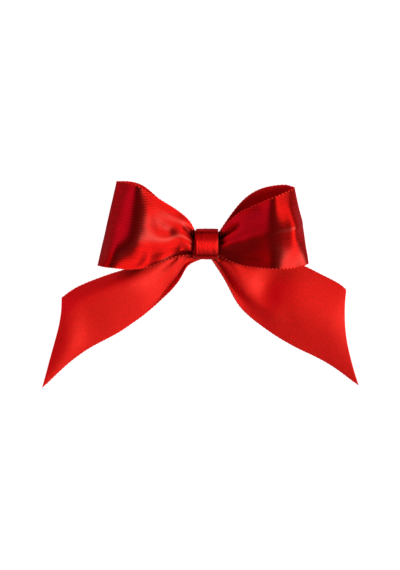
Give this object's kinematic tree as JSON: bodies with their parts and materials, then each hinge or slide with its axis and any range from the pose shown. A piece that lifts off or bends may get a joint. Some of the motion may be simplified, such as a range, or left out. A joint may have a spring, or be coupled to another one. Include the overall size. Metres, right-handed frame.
{
  "type": "pre-made gift bow",
  "caption": "Flat pre-made satin gift bow: two open loops and two slant-cut tails held by a wound centre wrap, on an adhesive pad.",
  "frame": {"origin": "middle of the underside of the release liner, on the plane that the bow lies on", "axes": "+Z is the bow's front, +Y is its top (the tails point towards -Y), +X is to the right when it is seen from the front"},
  "size_m": [0.0822, 0.0534, 0.0141],
  "materials": {
    "satin_ribbon": "single-face satin, shiny side",
    "satin_ribbon_back": "single-face satin, duller side with a visible diagonal weave",
    "thread": "polyester sewing thread",
    "hot_glue": "hot-melt glue, slightly glossy",
    "adhesive_foam": "closed-cell foam tape",
    "liner_paper": "silicone-coated release paper"
  },
  "bodies": {
    "knot": {"front_gather": "satin_ribbon", "middle_gather": "satin_ribbon", "back_gather": "satin_ribbon", "binding_thread": "thread", "centre_wrap": "satin_ribbon", "glue_bead": "hot_glue", "foam_pad": "adhesive_foam"},
    "left_loop": {"left_loop": "satin_ribbon"},
    "right_loop": {"right_loop": "satin_ribbon"},
    "left_tail": {"left_tail": "satin_ribbon_back"},
    "right_tail": {"right_tail": "satin_ribbon_back"},
    "release_liner": {"release_liner": "liner_paper"}
  },
  "joints": [
    {"name": "left_loop_bend", "type": "hinge", "parent": "knot", "child": "left_loop", "pos_m": [-0.00437, 0.00031, 0.0042], "axis": [0.2198, 0.9755, 0], "range_deg": [-3, 25], "stiffness_Nm_per_rad": 0.003},
    {"name": "right_loop_bend", "type": "hinge", "parent": "knot", "child": "right_loop", "pos_m": [0.00437, 0.00031, 0.0042], "axis": [0.2198, -0.9755, 0], "range_deg": [-3, 25], "stiffness_Nm_per_rad": 0.003},
    {"name": "left_tail_bend", "type": "hinge", "parent": "knot", "child": "left_tail", "pos_m": [-0.0044, -0.0009, 0.0021], "axis": [-0.515, 0.8572, 0], "range_deg": [-20, 5], "stiffness_Nm_per_rad": 0.003},
    {"name": "right_tail_bend", "type": "hinge", "parent": "knot", "child": "right_tail", "pos_m": [0.0044, -0.0009, 0.0021], "axis": [-0.4924, -0.8704, 0], "range_deg": [-20, 2], "stiffness_Nm_per_rad": 0.003},
    {"name": "liner_peel", "type": "slide", "parent": "knot", "child": "release_liner", "axis": [0, -1, 0], "range_m": [0, 0.012]}
  ]
}
